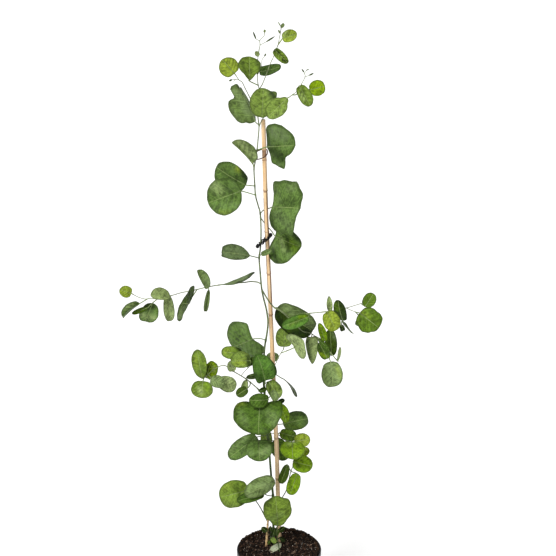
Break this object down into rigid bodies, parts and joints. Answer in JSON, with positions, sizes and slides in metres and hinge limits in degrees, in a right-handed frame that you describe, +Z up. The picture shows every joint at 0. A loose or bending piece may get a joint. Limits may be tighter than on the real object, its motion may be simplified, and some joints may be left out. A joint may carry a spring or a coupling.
{
  "type": "potted eucalyptus plant on a cane",
  "caption": "Young round-leaved eucalyptus in a tapered nursery pot of compost, its stem tied to a slim bamboo cane; a standing potted plant.",
  "frame": {"origin": "middle of the pot's flat underside, on the surface that it stands on", "axes": "+Z up the cane; the pictured front of the plant faces -Y, and +X is to its right in the picture"},
  "size_m": [0.4365, 0.15, 1.0581],
  "materials": {
    "pot_plastic": "satin",
    "potting_compost": "matte",
    "bamboo": "satin",
    "old_wood": "matte",
    "brown_tie": "matte",
    "black_tie": "satin",
    "dead_leaf": "matte",
    "mature_leaf": "satin",
    "young_leaf": "satin",
    "new_growth_leaf": "satin"
  },
  "bodies": {
    "root": {"pot": "pot_plastic", "soil": "potting_compost", "cane": "bamboo", "old_stub": "old_wood", "upper_tie": "brown_tie", "lower_tie": "black_tie", "fallen_leaf": "dead_leaf", "leader_stem": "mature_leaf", "crown_left_twig": "young_leaf", "crown_middle_twig": "mature_leaf", "crown_right_twig": "young_leaf", "crown_side_sprig": "young_leaf", "left_branch": "mature_leaf", "right_branch": "mature_leaf", "middle_twig": "mature_leaf", "left_cluster_branch": "young_leaf", "right_middle_sprig": "young_leaf", "right_low_shoot": "mature_leaf", "low_left_shoot": "young_leaf", "front_shoot": "mature_leaf", "basal_tuft": "new_growth_leaf"}
  },
  "joints": []
}
